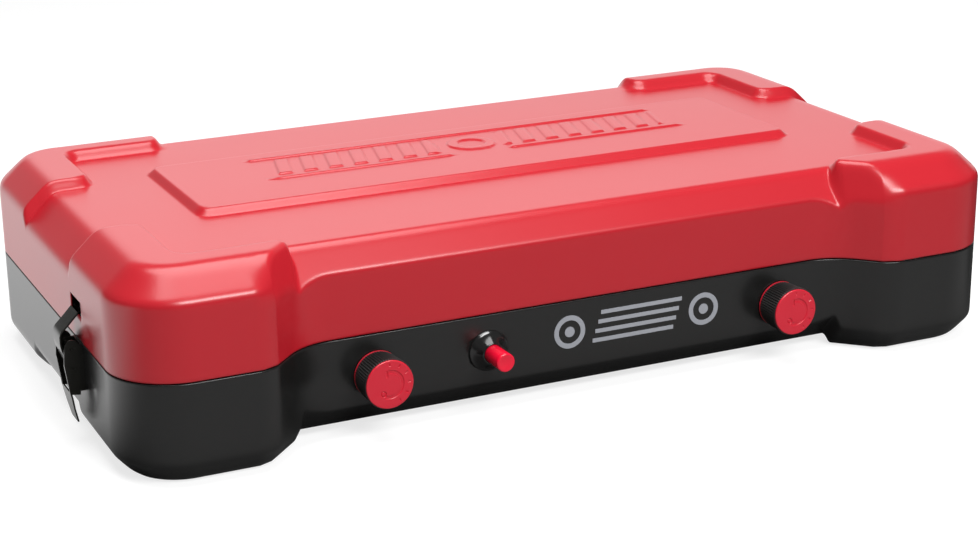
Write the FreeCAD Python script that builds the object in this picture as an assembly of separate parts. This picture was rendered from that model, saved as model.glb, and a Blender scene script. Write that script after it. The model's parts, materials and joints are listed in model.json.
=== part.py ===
"""Two-burner camp stove in a closed carrying case, millimetres.

Origin: on the ground, at the centre of the overall length and depth. +X is right seen
from the front, -Y is the front, +Z is up. The dimensions below count Y from the middle
of the case itself and Z from a datum level just above the ground; save() moves everything
forward by FRAME_SHIFT and up so that the feet stand at Z = 0.
Rest pose: lid down, windscreens folded, knobs at off.
"""
import FreeCAD, Part
import math
import os

V = FreeCAD.Vector

# Case
CASE_W = 597.0          # outside width
CASE_D = 330.0          # outside depth
PAD_Z = 124.0           # top of the corner pads
FOOT_Z = -3.0           # underside of the corner feet
SEAM_Z = 60.4           # parting height between base and lid
RIM_GAP = 0.7           # gap between the two rims
SHEET = 1.0             # steel sheet thickness
CORNER_R = 42.0         # plan corner radius
RECESS = 28.7           # how far the front middle stands back
RECESS_HALF = 165.5     # half length of the flat recessed front
SWEEP_IN_R = 42.0       # plan radius where the recess starts to turn out
SWEEP_OUT_R = 16.0      # plan radius where it meets the corner front
SWEEP_MIN_R = 4.0       # least plan radius of an inset outline there
HEM = 4.0               # width of the turned-in rims

# Lid heights and chamfers
FIELD_Z = 117.4         # recessed cross-shaped top field
FIELD_BREAK_Z = 98.6    # wall height where the field chamfer starts
FIELD_INSET = 17.2
PAD_BREAK_Z = 107.2     # wall height where the pad chamfer starts
PAD_INSET = 17.2
PAD_SLOPE = 0.45        # how much a pad step leans out per mm of drop
PANEL_Z = 121.6         # raised centre panel
PANEL_TOP = (-208.0, 208.0, -38.0, 70.0)
PANEL_RUN = 6.5

# L-shaped corner pads: leg end x, leg edge y, side edge x, side end y
REAR_PAD = (190.0, 130.0, 256.0, 62.0)
FRONT_PAD = (191.0, 126.0, 256.0, 56.0)
PAD_OUT_R = 6.0
PAD_IN_R = 14.0

# Base
FLOOR_Z = 2.6           # underside of the recessed base floor
FLOOR_BREAK_Z = 15.4
FOOT_BREAK_Z = 9.8
FLOOR_INSET = 11.5

# Hinges
HINGE_X = 150.0
HINGE_AXIS_Y = 167.9
LEAF_W = 60.0
LEAF_H = 15.0
KNUCKLE_R = 2.6
HINGE_PIN_R = 1.5
RUN_FIT = 0.05          # radial running clearance

# Latches, measured outwards from the side wall and up from the ground
LATCH_Y = -64.5
LEVER_PIVOT = (6.5, 58.0)
STRAP_PIVOT = (5.2, 45.6)
LATCH_PIN_R = 1.0
LEVER_HALF = 10.3
STRAP_HALF = 7.8
STRAP_LINE = [(0.75, 79.2), (7.0, 72.7), (10.9, 69.0), (12.0, 67.4), (12.5, 65.6),
              (12.5, 61.5), (12.2, 59.0), (11.6, 56.6), (10.9, 54.6), (9.4, 49.4),
              (8.4, 47.4), (6.9, 46.3)]
SLOT = (-76.0, -53.0, 76.4, 86.5)

# Controls
KNOBS_X = (-137.6, 144.4)
KNOB_Z = 35.0
KNOB_REAR_R = 14.8
KNOB_R = 15.9
KNOB_FLANGE_R = 15.0
KNOB_FACE_R = 15.1
KNOB_FRONT = 20.8       # reach in front of the recessed wall
RIBS = 60
STEM_R = 3.0
IGNITER_X = -63.6
IGNITER_Z = 37.2
BEZEL_R = 13.0
BEZEL_FRONT = 7.4
BUTTON_R = 5.9
BUTTON_FRONT = 24.5

# Burners, tray, grate and windscreens
BURNERS_X = KNOBS_X
ELECTRODES_X = (BURNERS_X[0] + 44.0, BURNERS_X[1] - 44.0)
DECK_Y = 15.5           # centre line of tray, burners and grate
TRAY_HALF = (292.0, 140.5)
WELL_HALF = (274.0, 122.5)
TRAY_FLOOR_Z = 44.0
TRAY_FLANGE_Z = 56.0
GRATE_HALF = (278.0, 118.0)
GRATE_PITCH = 27.0
SCREEN_ROD = (287.0, 70.5)
SCREEN_H = 120.0
SCREEN_Y = (-101.5, 131.5)
INLET_Y = 10.0
PIPE_Z = 24.0           # manifold, low enough to pass under the igniter

HALF_W = CASE_W / 2
HALF_D = CASE_D / 2
WALL_Y = -HALF_D + RECESS
FRAME_SHIFT = (HINGE_AXIS_Y + KNUCKLE_R - HALF_D) / 2


def arc(centre, radius, start, end, z):
    """Arc edge in a level plane; angles in degrees."""
    pts = []
    for ang in (start, (start + end) / 2, end):
        rad = math.radians(ang)
        pts.append(V(centre[0] + radius * math.cos(rad), centre[1] + radius * math.sin(rad), z))
    return Part.Arc(*pts).toShape()


def join(parts):
    """Closed wire from arcs, with straight edges between them."""
    edges = []
    for i, edge in enumerate(parts):
        last = parts[i - 1]
        start = last.valueAt(last.LastParameter)
        end = edge.valueAt(edge.FirstParameter)
        edges.append(Part.makeLine(start, end))
        edges.append(edge)
    return Part.Wire(edges)


def outline(inset, z):
    """Plan outline of the case at one height, drawn inset from the outside."""
    turn = math.radians(45)
    radii = SWEEP_IN_R + SWEEP_OUT_R
    straight = (RECESS - radii * (1 - math.cos(turn))) / math.sin(turn)
    end_x = RECESS_HALF + (radii + straight) * math.sin(turn)
    r_in, r_c = SWEEP_IN_R + inset, CORNER_R - inset
    r_out = max(SWEEP_OUT_R - inset, SWEEP_MIN_R)
    more = inset + r_out - SWEEP_OUT_R
    inner = (RECESS_HALF, WALL_Y - SWEEP_IN_R)
    outer = (end_x + more * math.tan(turn / 2), -HALF_D + SWEEP_OUT_R + more)
    corner = (HALF_W - CORNER_R, HALF_D - CORNER_R)
    return join([
        arc(inner, r_in, 90, 45, z),
        arc(outer, r_out, 225, 270, z),
        arc((corner[0], -corner[1]), r_c, 270, 360, z),
        arc(corner, r_c, 0, 90, z),
        arc((-corner[0], corner[1]), r_c, 90, 180, z),
        arc((-corner[0], -corner[1]), r_c, 180, 270, z),
        arc((-outer[0], outer[1]), r_out, 270, 315, z),
        arc((-inner[0], inner[1]), r_in, 135, 90, z),
    ])


def rounded(x0, x1, y0, y1, r, z):
    """Rounded rectangle wire."""
    return join([
        arc((x1 - r, y0 + r), r, 270, 360, z),
        arc((x1 - r, y1 - r), r, 0, 90, z),
        arc((x0 + r, y1 - r), r, 90, 180, z),
        arc((x0 + r, y0 + r), r, 180, 270, z),
    ])


def loft(wires):
    return Part.makeLoft(wires, True, True)


def box(x0, x1, y0, y1, z0, z1):
    return Part.makeBox(x1 - x0, y1 - y0, z1 - z0, V(x0, y0, z0))


def rod(start, end, r):
    a, b = V(*start), V(*end)
    return Part.makeCylinder(r, (b - a).Length, a, b - a)


def turned_z(profile, x, y):
    """Solid turned about a vertical line from (radius, z) points."""
    pts = [V(r, 0, z) for r, z in profile]
    face = Part.Face(Part.makePolygon(pts + pts[:1]))
    solid = face.revolve(V(0, 0, 0), V(0, 0, 1), 360)
    solid.translate(V(x, y, 0))
    return solid


def turned_y(profile, x, z):
    """Solid turned about a front-to-back line from (radius, y) points."""
    pts = [V(r, y, 0) for r, y in profile]
    face = Part.Face(Part.makePolygon(pts + pts[:1]))
    solid = face.revolve(V(0, 0, 0), V(0, 1, 0), 360)
    solid.translate(V(x, 0, z))
    return solid


def hexagon_x(across, x0, x1, y, z):
    """Hexagonal bar along X."""
    r = across / math.sqrt(3)
    pts = [V(x0, y + r * math.cos(math.radians(a)), z + r * math.sin(math.radians(a)))
           for a in range(0, 361, 60)]
    pts[-1] = pts[0]
    return Part.Face(Part.makePolygon(pts)).extrude(V(x1 - x0, 0, 0))


def hexagon_y(across, y0, y1, x, z):
    """Hexagonal bar along Y."""
    r = across / math.sqrt(3)
    pts = [V(x + r * math.cos(math.radians(a)), y0, z + r * math.sin(math.radians(a)))
           for a in range(0, 361, 60)]
    pts[-1] = pts[0]
    return Part.Face(Part.makePolygon(pts)).extrude(V(0, y1 - y0, 0))


def tube_path(points, bend, r):
    """Round bar swept along straight runs with bends."""
    pts = [V(*p) for p in points]
    edges, start = [], pts[0]
    for i in range(1, len(pts) - 1):
        back = (pts[i - 1] - pts[i]).normalize()
        ahead = (pts[i + 1] - pts[i]).normalize()
        half = back.getAngle(ahead) / 2
        run = bend / math.tan(half)
        a, b = pts[i] + back * run, pts[i] + ahead * run
        middle = (back + ahead).normalize()
        mid = pts[i] + middle * (bend / math.sin(half) - bend)
        edges.append(Part.makeLine(start, a))
        edges.append(Part.Arc(a, mid, b).toShape())
        start = b
    edges.append(Part.makeLine(start, pts[-1]))
    spine = Part.Wire(edges)
    ring = Part.Wire(Part.makeCircle(r, pts[0], pts[1] - pts[0]))
    return spine.makePipeShell([ring], True, True)


def fuse(shapes):
    out = shapes[0].multiFuse(shapes[1:]) if len(shapes) > 1 else shapes[0]
    return out.removeSplitter()


def mirrored(shape):
    return shape.mirror(V(0, 0, 0), V(1, 0, 0))


def both(shape):
    """The shape and its left-right mirror image."""
    return [shape, mirrored(shape)]


def save(node, shapes):
    whole = Part.makeCompound([s for shape in shapes for s in shape.Solids])
    whole.translate(V(0, -FRAME_SHIFT, -FOOT_Z))
    whole.exportStep("parts/%s.step" % node)


# Pressed shells

def skin_levels(skin, break_z, inset, end_z):
    """Chamfer corner heights and inset, moved in by one skin thickness."""
    rise = abs(end_z - break_z)
    length = math.hypot(rise, inset)
    nx, nz = rise / length, inset / length
    up = 1 if end_z > break_z else -1
    return break_z - up * skin * (1 - nx) / nz, inset + skin * (1 - nz) / nx, end_z - up * skin


def body(skin, rim_z, break_z, inset, end_z):
    """Straight wall and one chamfer, closed by a level face."""
    z_break, z_inset, z_end = skin_levels(skin, break_z, inset, end_z)
    return loft([outline(skin, rim_z), outline(skin, z_break), outline(z_inset, z_end)])


def pad_wire(dims, spread, sy, sx, z):
    """L-shaped pad outline; spread widens its inner edges."""
    leg_x, leg_y, side_x, side_y = dims
    out_r, in_r = PAD_OUT_R + spread, PAD_IN_R - spread
    far_x, far_y = HALF_W + 20, HALF_D + 20

    def bend(cx, cy, r, a0, a1):
        pts = []
        for ang in (a0, (a0 + a1) / 2, a1):
            rad = math.radians(ang)
            pts.append(V(sx * (cx + r * math.cos(rad)), sy * (cy + r * math.sin(rad)), z))
        return Part.Arc(*pts).toShape()

    arcs = [
        bend(leg_x + PAD_OUT_R, leg_y + PAD_OUT_R, out_r, 180, 270),
        bend(side_x - PAD_IN_R, leg_y - PAD_IN_R, in_r, 90, 0),
        bend(side_x + PAD_OUT_R, side_y + PAD_OUT_R, out_r, 180, 270),
    ]
    corners = [V(sx * far_x, sy * (side_y - spread), z), V(sx * far_x, sy * far_y, z),
               V(sx * (leg_x - spread), sy * far_y, z)]
    edges = []
    for i, edge in enumerate(arcs):
        if i:
            last = arcs[i - 1]
            edges.append(Part.makeLine(last.valueAt(last.LastParameter),
                                       edge.valueAt(edge.FirstParameter)))
        edges.append(edge)
    ring = [arcs[2].valueAt(arcs[2].LastParameter)] + corners + [arcs[0].valueAt(arcs[0].FirstParameter)]
    for a, b in zip(ring, ring[1:]):
        edges.append(Part.makeLine(a, b))
    return Part.Wire(edges)


def pads(skin, end_z, deep_z, slope):
    """Four L-shaped prisms that lean out away from their flat end."""
    spread = slope * abs(end_z - deep_z)
    over = end_z + (1 if end_z > deep_z else -1)
    solids = []
    for dims, sy in ((REAR_PAD, 1), (FRONT_PAD, -1)):
        for sx in (1, -1):
            solids.append(loft([pad_wire(dims, spread - skin, sy, sx, deep_z),
                                pad_wire(dims, -slope - skin, sy, sx, over)]))
    return solids


def padded(skin, rim_z, field, pad, slope):
    """Recessed field with the corner pads raised out of it."""
    low = body(skin, rim_z, *field)
    high = body(skin, rim_z, *pad)
    deep = field[0] - 4 if pad[2] > field[2] else field[0] + 4
    raised = [high.common(p) for p in pads(skin, pad[2], deep, slope)]
    return low.multiFuse(raised)


def centre_panel(skin):
    x0, x1, y0, y1 = PANEL_TOP
    grow = PANEL_RUN + 0.7
    inset = 0.45 * skin
    foot = rounded(x0 - grow + inset, x1 + grow - inset, y0 - grow + inset, y1 + grow - inset, 14,
                   FIELD_Z - 1.2 - skin)
    top = rounded(x0 + inset, x1 - inset, y0 + inset, y1 - inset, 9, PANEL_Z - skin)
    return loft([foot, top])


def panel_ribs():
    """Embossed rules and slanted ribs on the centre panel."""
    ribs = [box(-146, 150, y, y + 2.6, PANEL_Z - 0.5, PANEL_Z + 0.7) for y in (5.0, 54.0)]
    for i in range(16):
        x = -136 + i * 17.6
        pts = [V(x, 15, PANEL_Z - 0.5), V(x + 7, 15, PANEL_Z - 0.5),
               V(x + 15, 47, PANEL_Z - 0.5), V(x + 8, 47, PANEL_Z - 0.5)]
        ribs.append(Part.Face(Part.makePolygon(pts + pts[:1])).extrude(V(0, 0, 1.2)))
    return ribs


def rim(z0, z1):
    """Turned-in rim."""
    outer = Part.Face(outline(0, z0)).extrude(V(0, 0, z1 - z0))
    return outer.cut(Part.Face(outline(HEM, z0)).extrude(V(0, 0, z1 - z0)))


def lid_shell():
    z0 = SEAM_Z + RIM_GAP / 2
    field = (FIELD_BREAK_Z, FIELD_INSET, FIELD_Z)
    pad = (PAD_BREAK_Z, PAD_INSET, PAD_Z)
    outer = padded(0, z0, field, pad, PAD_SLOPE).fuse(centre_panel(0))
    inner = padded(SHEET, z0, field, pad, PAD_SLOPE).fuse(centre_panel(SHEET))
    shell = outer.cut(inner).multiFuse([rim(z0, z0 + SHEET)] + panel_ribs())
    y0, y1, s0, s1 = SLOT
    cuts = both(box(-HALF_W - 2, -HALF_W + 2, y0, y1, s0, s1))
    cuts += rivet_shanks(72.0)
    return shell.cut(Part.makeCompound(cuts)).removeSplitter()


def base_shell():
    z1 = SEAM_Z - RIM_GAP / 2
    field = (FLOOR_BREAK_Z, FLOOR_INSET, FLOOR_Z)
    foot = (FOOT_BREAK_Z, FLOOR_INSET, FOOT_Z)
    outer = padded(0, z1, field, foot, PAD_SLOPE)
    inner = padded(SHEET, z1, field, foot, PAD_SLOPE)
    shell = outer.cut(inner).fuse(rim(z1 - SHEET, z1))
    cuts = rivet_shanks(50.0) + both(latch_rivet(50.5)) + both(latch_rivet(38.5))
    for x in KNOBS_X:
        cuts.append(rod((x, WALL_Y - 3, KNOB_Z), (x, WALL_Y + 3, KNOB_Z), 5.8))
    cuts.append(rod((IGNITER_X, WALL_Y - 3, IGNITER_Z), (IGNITER_X, WALL_Y + 3, IGNITER_Z), 8.0))
    cuts.append(rod((HALF_W - 3, INLET_Y, KNOB_Z), (HALF_W + 3, INLET_Y, KNOB_Z), 7.0))
    for x, y in post_places():
        cuts.append(rod((x, y, FLOOR_Z - 1), (x, y, FLOOR_Z + 2), 2.0))
    return shell.cut(Part.makeCompound(cuts)).removeSplitter()


# Hinges

def rivet_shanks(z):
    return [rod((sx * HINGE_X + dx, HALF_D - SHEET, z), (sx * HINGE_X + dx, HALF_D + 1, z), 1.6)
            for sx in (-1, 1) for dx in (-20, 20)]


def hinge_rivets(z):
    profile = [(0, HALF_D - 2), (2.4, HALF_D - 2), (2.6, HALF_D - SHEET), (1.6, HALF_D - SHEET),
               (1.6, HALF_D + 1), (3.0, HALF_D + 1), (2.5, HALF_D + 1.9), (0, HALF_D + 2.2)]
    return [turned_y(profile, sx * HINGE_X + dx, z) for sx in (-1, 1) for dx in (-20, 20)]


def hinge_leaf(up, segments, bore, rivet_z):
    """One hinge leaf with rolled knuckles, centred on X = 0."""
    near = SEAM_Z + up * 3.4
    far = near + up * LEAF_H
    z0, z1 = min(near, far), max(near, far)
    plate = Part.Face(rounded_y(-LEAF_W / 2, LEAF_W / 2, z0, z1, 3)).extrude(V(0, 1, 0))
    parts = [plate]
    for x0, x1 in segments:
        a, b = sorted((SEAM_Z, near + up * 4))
        parts.append(box(x0, x1, HALF_D, HALF_D + 1, a, b))
        parts.append(rod((x0, HINGE_AXIS_Y, SEAM_Z), (x1, HINGE_AXIS_Y, SEAM_Z), KNUCKLE_R))
    leaf = fuse(parts)
    leaf = leaf.cut(rod((-40, HINGE_AXIS_Y, SEAM_Z), (40, HINGE_AXIS_Y, SEAM_Z), bore))
    for dx in (-20, 20):
        leaf = leaf.cut(rod((dx, HALF_D - 1, rivet_z), (dx, HALF_D + 3, rivet_z), 1.6))
    return leaf.removeSplitter()


def rounded_y(x0, x1, z0, z1, r):
    """Rounded rectangle wire standing on the rear wall."""
    wire = rounded(x0, x1, z0, z1, r, 0)
    wire.rotate(V(0, 0, 0), V(1, 0, 0), 90)
    wire.translate(V(0, HALF_D, 0))
    return wire


def at_hinges(shape):
    out = []
    for sx in (-1, 1):
        copy = shape.copy()
        copy.translate(V(sx * HINGE_X, 0, 0))
        out.append(copy)
    return out


def hinge_pin():
    y, z, end = HINGE_AXIS_Y, SEAM_Z, LEAF_W / 2
    pin = rod((-end - 0.9, y, z), (end + 0.9, y, z), HINGE_PIN_R)
    heads = [rod((x, y, z), (x + 0.9, y, z), 2.2) for x in (-end - 0.9, end)]
    return fuse([pin] + heads)


# Latches, built on the left wall

def slab(points, y0, y1):
    """Side-view outline (outward, up) pulled across the latch width."""
    pts = [V(-HALF_W - u, LATCH_Y + y0, z) for u, z in points]
    return Part.Face(Part.makePolygon(pts + pts[:1])).extrude(V(0, y1 - y0, 0))


def cross_pin(pivot, half, r):
    u, z = pivot
    return rod((-HALF_W - u, LATCH_Y - half, z), (-HALF_W - u, LATCH_Y + half, z), r)


def strip(line, thick):
    """Closed outline of a bent strip from its middle line."""
    left, right = [], []
    for i, (u, z) in enumerate(line):
        before = line[max(i - 1, 0)]
        after = line[min(i + 1, len(line) - 1)]
        du, dz = after[0] - before[0], after[1] - before[1]
        size = math.hypot(du, dz)
        nu, nz = -dz / size * thick / 2, du / size * thick / 2
        left.append((u + nu, z + nz))
        right.append((u - nu, z - nz))
    return left + right[::-1]


def latch_bracket():
    plate = slab([(0, 34), (1.2, 34), (1.2, 60.1), (0, 60.1)], -8.6, 8.6)
    ear = [(0, 53), (4.4, 54.6), (5.6, 56.1), (7.4, 56.1), (8.5, 57.2), (8.5, 58.9), (7.4, 60.1), (0, 60.1)]
    flange = [(0, 31), (2.8, 31), (2.8, 53), (0, 54)]
    parts = [plate]
    for s in (-1, 1):
        parts += [slab(ear, *sorted((s * 7.4, s * 8.6))), slab(flange, *sorted((s * 8.0, s * 9.1)))]
    out = fuse(parts).cut(cross_pin(LEVER_PIVOT, 12, LATCH_PIN_R))
    for z in (50.5, 38.5):
        out = out.cut(rod((-HALF_W - 5, LATCH_Y, z), (-HALF_W + 5, LATCH_Y, z), 1.6))
    return out


def latch_rivet(z):
    profile = [(0, -2.0), (2.6, -2.0), (2.6, -SHEET), (1.6, -SHEET), (1.6, 1.2), (2.5, 1.2),
               (2.1, 1.8), (0, 2.0)]
    pts = [V(-HALF_W - u, r, 0) for r, u in profile]
    solid = Part.Face(Part.makePolygon(pts + pts[:1])).revolve(V(0, 0, 0), V(1, 0, 0), 360)
    solid.translate(V(0, LATCH_Y, z))
    return solid


def latch_lever():
    cheek = [(2.2, 60.5), (3.6, 62.6), (5.2, 63.6), (6.5, 63.9), (8.0, 63.7), (9.4, 62.9), (10.8, 61.0),
             (11.4, 58.0), (12.0, 49.0), (9.6, 30.0), (3.4, 29.2), (2.6, 40.0), (1.8, 50.0)]
    parts = [slab(cheek, -LEVER_HALF, -9.3), slab(cheek, 9.3, LEVER_HALF)]
    plate = slab([(12.0, 49.0), (9.5, 30.0), (7.6, 19.5), (5.6, 10.9), (4.6, 11.1), (6.6, 19.7),
                  (8.5, 30.2), (11.0, 49.1)], -LEVER_HALF, LEVER_HALF)
    window = box(-HALF_W - 20, -HALF_W, LATCH_Y - 8.3, LATCH_Y + 8.3, 31.0, 60.0)
    plate = plate.cut(window)
    for s in (-1, 1):
        x = -HALF_W - 20
        pts = [V(x, LATCH_Y + s * 10.4, 27.0), V(x, LATCH_Y + s * 8.4, 20.0),
               V(x, LATCH_Y + s * 6.8, 10.0), V(x, LATCH_Y + s * 12.0, 10.0), V(x, LATCH_Y + s * 12.0, 27.0)]
        plate = plate.cut(Part.Face(Part.makePolygon(pts + pts[:1])).extrude(V(20, 0, 0)))
    out = fuse(parts + [plate])
    out = out.cut(cross_pin(LEVER_PIVOT, 12, LATCH_PIN_R + RUN_FIT))
    return out.cut(cross_pin(STRAP_PIVOT, 12, LATCH_PIN_R)).removeSplitter()


def latch_strap():
    sheet = slab(strip(STRAP_LINE, 1.0), -STRAP_HALF, STRAP_HALF)
    curl = cross_pin(STRAP_PIVOT, STRAP_HALF, 2.1)
    out = fuse([sheet, curl])
    return out.cut(cross_pin(STRAP_PIVOT, 12, LATCH_PIN_R + RUN_FIT)).removeSplitter()


# Controls on the recessed front

def knob_core(x):
    back, front = WALL_Y - 0.8, WALL_Y - KNOB_FRONT
    sleeve = KNOB_REAR_R - 1.2
    profile = [(STEM_R, back), (KNOB_FLANGE_R, back), (KNOB_FLANGE_R, back - 1.8), (sleeve, back - 1.8),
               (KNOB_FACE_R, front + 1.0), (KNOB_FACE_R - 0.2, front + 0.4), (KNOB_FACE_R - 0.9, front),
               (0, front), (0, back - 15.5), (STEM_R, back - 15.5)]
    core = turned_y(profile, x, KNOB_Z)
    return core.cut(knob_mark(x, front - 1, front + 0.5))


def knob_mark(x, y0, y1):
    """Sunk turning arrow: an open arc with a tail, a small ring, and ticks round the edge."""
    z = KNOB_Z
    arrow = turned_y([(6.9, y0), (8.9, y0), (8.9, y1), (6.9, y1)], x, z)
    gap = [(0, 0), (-1.6, 14), (-14, 14), (-14, -14), (-5.4, -14)]
    wedge = [V(x + dx, y0 - 1, z + dz) for dx, dz in gap]
    arrow = arrow.cut(Part.Face(Part.makePolygon(wedge + wedge[:1])).extrude(V(0, 4, 0)))
    cx, cz = x - 4.4, z - 5.4
    small = turned_y([(0.9, y0), (1.7, y0), (1.7, y1), (0.9, y1)], cx, cz)
    parts = [arrow, small, box(x - 2.4, x - 1.2, y0, y1, z + 4.6, z + 8.6)]
    for deg in (60, 30, 0, -30, -60, -90):
        tick = box(11.4, 13.2, y0, y1, -0.3, 0.3)
        tick.rotate(V(0, 0, 0), V(0, 1, 0), deg)
        tick.translate(V(x, 0, z))
        parts.append(tick)
    return Part.makeCompound(parts)


def ribbed(x, y, r):
    pts = []
    for i in range(RIBS):
        for part, depth in ((0.0, 0.7), (0.3, 0.0), (0.7, 0.0)):
            ang = 2 * math.pi * (i + part) / RIBS
            pts.append(V(x + (r - depth) * math.cos(ang), y, KNOB_Z + (r - depth) * math.sin(ang)))
    return Part.makePolygon(pts + pts[:1])


def knob_grip(x):
    """Ribbed sleeve, a little wider at the front."""
    back, front = WALL_Y - 2.6, WALL_Y - KNOB_FRONT + 1.0
    ring = Part.makeLoft([ribbed(x, back, KNOB_REAR_R), ribbed(x, front, KNOB_R)], True, True)
    bore = turned_y([(0, back + 1), (KNOB_REAR_R - 1.2 - 0.08, back + 1),
                     (KNOB_REAR_R - 1.2, back), (KNOB_FACE_R, front), (KNOB_FACE_R + 0.1, front - 1),
                     (0, front - 1)], x, KNOB_Z)
    return ring.cut(bore)


def valve_stem(x):
    return rod((x, WALL_Y - 16.3, KNOB_Z), (x, WALL_Y + 15.0, KNOB_Z), STEM_R)


def valve_body(x):
    block = box(x - 10, x + 10, WALL_Y + 4, WALL_Y + 32, PIPE_Z - 6, KNOB_Z + 8.5)
    neck = rod((x, WALL_Y - 0.5, KNOB_Z), (x, WALL_Y + 4, KNOB_Z), 5.8)
    bore = rod((x, WALL_Y - 2, KNOB_Z), (x, WALL_Y + 16, KNOB_Z), STEM_R + RUN_FIT)
    gas = rod((x, WALL_Y + 20, KNOB_Z), (x, WALL_Y + 33, KNOB_Z), 1.2)
    return fuse([block, neck]).cut(bore).cut(gas)


def valve_nut(x):
    ring = hexagon_y(17, WALL_Y + SHEET, WALL_Y + 4, x, KNOB_Z)
    return ring.cut(rod((x, WALL_Y, KNOB_Z), (x, WALL_Y + 5, KNOB_Z), 5.8))


def jet(x):
    y = WALL_Y + 32
    return turned_y([(0.6, y), (4.5, y), (4.5, y + 4), (3.0, y + 5), (2.2, y + 9), (0.6, y + 9)], x, KNOB_Z)


def igniter_bezel():
    y = WALL_Y
    tip = y - BEZEL_FRONT
    profile = [(8.0, y), (BEZEL_R, y), (BEZEL_R, y - 0.7), (BEZEL_R - 0.5, y - 1.2), (7.0, tip + 0.3),
               (6.7, tip), (6.2, tip), (6.2, y - 2.6), (8.0, y - 2.6)]
    return turned_y(profile, IGNITER_X, IGNITER_Z)


def igniter_body():
    y = WALL_Y
    profile = [(0, y + 32), (7.0, y + 32), (8.0, y + 30), (8.0, y - 2.5),
               (BUTTON_R + 0.08, y - 2.5), (BUTTON_R + 0.08, y + 25), (0, y + 25)]
    return turned_y(profile, IGNITER_X, IGNITER_Z)


def igniter_button():
    y = WALL_Y
    front = y - BUTTON_FRONT
    profile = [(0, y + 12), (4.4, y + 12), (BUTTON_R, y + 10), (BUTTON_R, front + 0.9),
               (BUTTON_R - 0.9, front), (0, front)]
    return turned_y(profile, IGNITER_X, IGNITER_Z)


def igniter_nut():
    ring = hexagon_y(24, WALL_Y + SHEET, WALL_Y + 5, IGNITER_X, IGNITER_Z)
    return ring.cut(rod((IGNITER_X, WALL_Y, IGNITER_Z), (IGNITER_X, WALL_Y + 6, IGNITER_Z), 8.0))


def front_mark():
    """Printed mark: two plain rings and a group of stripes."""
    y, out = WALL_Y, []
    for x in (-8.0, 88.0):
        ring = rod((x, y, 40), (x, y - 0.25, 40), 10.8).cut(rod((x, y + 1, 40), (x, y - 1, 40), 7.6))
        out += [ring, rod((x, y, 40), (x, y - 0.25, 40), 3.4)]
    for i, z in enumerate((30.2, 36.2, 42.2, 48.2)):
        out.append(box(8.0 + 2 * i, 66.0 + 2 * i, y - 0.25, y, z, z + 2.6))
    return out


# Gas supply

def inlet_fitting():
    x = HALF_W
    parts = [rod((x - 14, INLET_Y, KNOB_Z), (x + 1, INLET_Y, KNOB_Z), 7.0),
             hexagon_x(19, x, x + 4.5, INLET_Y, KNOB_Z),
             rod((x + 4, INLET_Y, KNOB_Z), (x + 12, INLET_Y, KNOB_Z), 7.2)]
    out = fuse(parts).cut(rod((x - 2, INLET_Y, KNOB_Z), (x + 13, INLET_Y, KNOB_Z), 5.0))
    return out.cut(rod((x - 15, INLET_Y, KNOB_Z), (x, INLET_Y, KNOB_Z), 3.0)).removeSplitter()


def inlet_nut():
    x = HALF_W - SHEET
    ring = hexagon_x(20, x - 4, x, INLET_Y, KNOB_Z)
    return ring.cut(rod((x - 5, INLET_Y, KNOB_Z), (x + 1, INLET_Y, KNOB_Z), 7.0))


def manifold_pipes():
    y, z = WALL_Y + 24, PIPE_Z
    middle = rod((KNOBS_X[0] + 10, y, z), (KNOBS_X[1] - 10, y, z), 4.0)
    feed = tube_path([(HALF_W - 14, INLET_Y, KNOB_Z), (262, INLET_Y, KNOB_Z), (262, y, z),
                      (KNOBS_X[1] + 10, y, z)], 10, 4.0)
    return [middle, feed]


# Tray, burners and grate

def post_places():
    return [(sx * 235.0, y) for sx in (-1, 1) for y in (-92.0, 115.0)]


def tray():
    hx, hy = TRAY_HALF
    wx, wy = WELL_HALF
    y0, y1 = DECK_Y - wy, DECK_Y + wy
    flange = Part.Face(rounded(-hx, hx, DECK_Y - hy, DECK_Y + hy, 34, TRAY_FLANGE_Z)).extrude(V(0, 0, 1))
    well = loft([rounded(-wx, wx, y0, y1, 24, TRAY_FLANGE_Z + 1),
                 rounded(-wx + 6, wx - 6, y0 + 6, y1 - 6, 18, TRAY_FLOOR_Z)])
    hollow = loft([rounded(-wx + 1.2, wx - 1.2, y0 + 1.2, y1 - 1.2, 22.8, TRAY_FLANGE_Z + 1.001),
                   rounded(-wx + 6.7, wx - 6.7, y0 + 6.7, y1 - 6.7, 17.3, TRAY_FLOOR_Z + 1)])
    out = flange.fuse(well).cut(hollow)
    cuts = []
    for x in BURNERS_X:
        cuts.append(rod((x, DECK_Y, 40), (x, DECK_Y, 50), 24))
    for x in ELECTRODES_X:
        cuts.append(rod((x, DECK_Y, 40), (x, DECK_Y, 50), 2.5))
    for x, y in post_places():
        cuts.append(rod((x, y, 40), (x, y, 50), 2.0))
    return out.cut(Part.makeCompound(cuts)).removeSplitter()


def tray_posts():
    return [rod((x, y, FLOOR_Z + SHEET), (x, y, TRAY_FLOOR_Z), 5.0)
            .cut(rod((x, y, 0), (x, y, 60), 2.0)) for x, y in post_places()]


def deck_screw(x, y, z, up, length):
    """Pan-head screw with a cross recess, head outwards along up."""
    profile = [(0, z - up * length), (2.0, z - up * length), (2.0, z), (4.0, z), (4.0, z + up * 1.1),
               (3.0, z + up * 1.9), (0, z + up * 2.1)]
    out = turned_z(profile, x, y)
    za, zb = sorted((z + up * 1.0, z + up * 3.0))
    return out.cut(box(x - 2.2, x + 2.2, y - 0.4, y + 0.4, za, zb)).cut(
        box(x - 0.4, x + 0.4, y - 2.2, y + 2.2, za, zb))


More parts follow.
